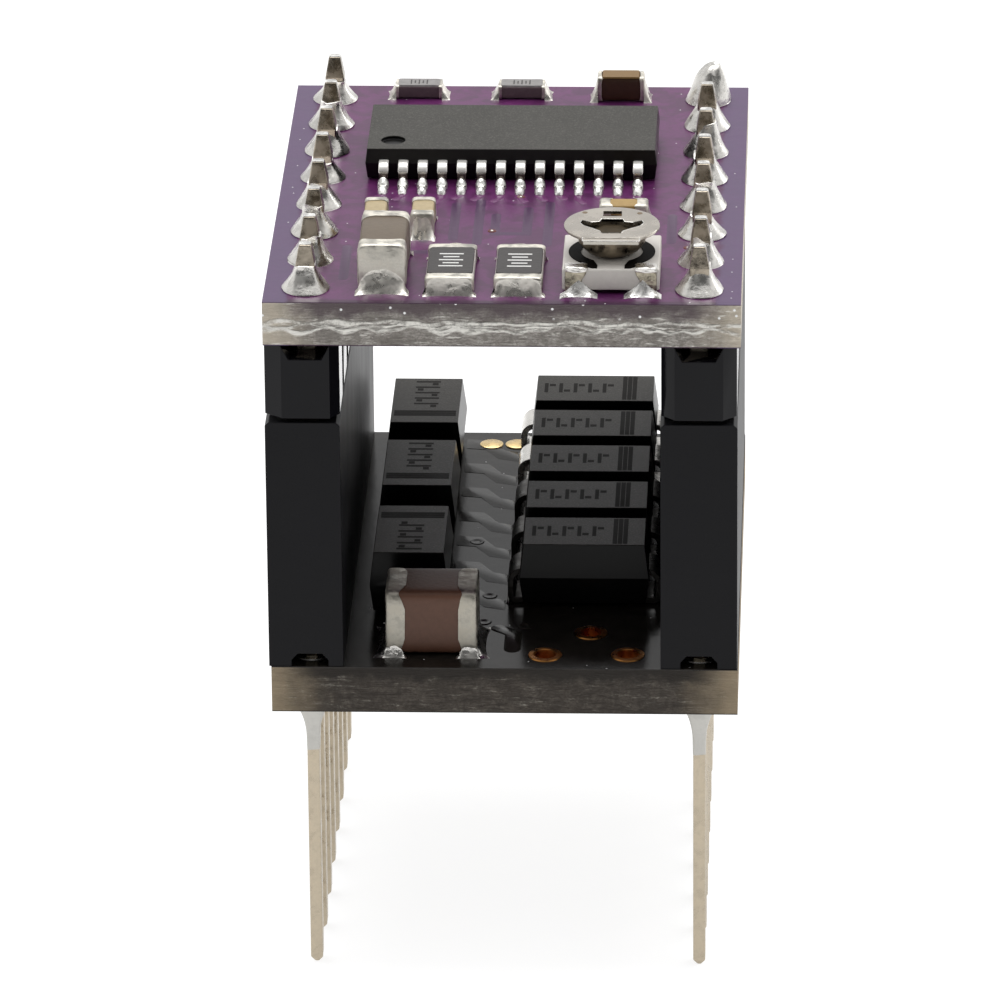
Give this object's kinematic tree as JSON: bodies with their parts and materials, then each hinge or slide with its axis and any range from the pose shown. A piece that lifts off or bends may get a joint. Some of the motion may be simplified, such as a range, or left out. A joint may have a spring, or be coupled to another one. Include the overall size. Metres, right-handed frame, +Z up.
{
  "type": "stepper driver module",
  "caption": "Stepper driver carrier board with pin strips, plugged into the stacking sockets of a diode smoother board with long tails.",
  "frame": {"origin": "on the plane of the tail tips, under the centre of both boards", "axes": "+X across the boards, +Y along the pin rows away from the trimmer end, +Z up from the tail tips to the trimmer"},
  "size_m": [0.0154, 0.0204, 0.0258],
  "materials": {
    "purple_board": "satin solder mask over glass-fibre laminate",
    "black_board": "glossy solder mask over glass-fibre laminate",
    "black_moulding": "satin glass-filled nylon",
    "case_epoxy": "fine matte moulded epoxy",
    "tail_metal": "tin-plated phosphor bronze with a pale champagne tone",
    "pin_metal": "tin-plated brass",
    "lead_metal": "matte tin plating",
    "copper_land": "flash-gold plating over copper",
    "solder": "bright reflowed solder",
    "silicon": "ground silicon",
    "ceramic_tan": "fired dielectric",
    "ceramic_brown": "fired dielectric",
    "ceramic_grey": "fired dielectric",
    "resistor_glass": "overglaze on white alumina",
    "end_cap": "matte tin plating",
    "white_ceramic": "unglazed alumina",
    "track_ink": "fired resistive ink",
    "rotor_metal": "stamped and bright plated"
  },
  "bodies": {
    "smoother_board": {"smoother_pcb": "black_board", "smoother_pads": "copper_land", "left_socket_housing": "black_moulding", "right_socket_housing": "black_moulding", "left_socket_contacts": "tail_metal", "right_socket_contacts": "tail_metal", "left_tail_solder": "solder", "right_tail_solder": "solder", "diode_dies": "silicon", "smoother_capacitor_body": "ceramic_brown", "smoother_capacitor_terminations": "end_cap", "smoother_solder": "solder", "diode_1_body": "case_epoxy", "diode_1_leads": "lead_metal", "diode_2_body": "case_epoxy", "diode_2_leads": "lead_metal", "diode_3_body": "case_epoxy", "diode_3_leads": "lead_metal", "diode_4_body": "case_epoxy", "diode_4_leads": "lead_metal", "diode_5_body": "case_epoxy", "diode_5_leads": "lead_metal", "diode_6_body": "case_epoxy", "diode_6_leads": "lead_metal", "diode_7_body": "case_epoxy", "diode_7_leads": "lead_metal", "diode_8_body": "case_epoxy", "diode_8_leads": "lead_metal"},
    "driver_module": {"back_capacitor_body": "ceramic_tan", "back_resistor_bodies": "resistor_glass", "back_row_terminations": "end_cap", "driver_ic_back_leads": "lead_metal", "driver_ic_body": "case_epoxy", "driver_ic_die": "silicon", "driver_ic_front_leads": "lead_metal", "driver_ic_thermal_pad": "lead_metal", "driver_pads": "copper_land", "driver_pcb": "purple_board", "driver_solder": "solder", "left_header_pins": "pin_metal", "left_header_solder": "solder", "left_pin_strip": "black_moulding", "right_header_pins": "pin_metal", "right_header_solder": "solder", "right_pin_strip": "black_moulding", "sense_resistor_1_body": "resistor_glass", "sense_resistor_2_body": "resistor_glass", "sense_resistor_terminations": "end_cap", "small_capacitor_bodies": "ceramic_tan", "small_capacitor_terminations": "end_cap", "supply_capacitor_body": "ceramic_grey", "supply_capacitor_terminations": "end_cap", "trimmer_base": "white_ceramic", "trimmer_end_terminals": "rotor_metal", "trimmer_pivot": "rotor_metal", "trimmer_track": "track_ink", "trimmer_wiper_terminal": "rotor_metal"},
    "trimmer_rotor": {"trimmer_rotor": "rotor_metal", "trimmer_wiper": "rotor_metal"}
  },
  "joints": [
    {"name": "driver_unplug", "type": "slide", "parent": "smoother_board", "child": "driver_module", "axis": [0, 0, 1], "range_m": [0, 0.0065]},
    {"name": "trimmer_turn", "type": "hinge", "parent": "driver_module", "child": "trimmer_rotor", "pos_m": [0.0035, -0.0077, 0.0255], "axis": [0, 0, 1], "range_deg": [-120, 120]}
  ]
}
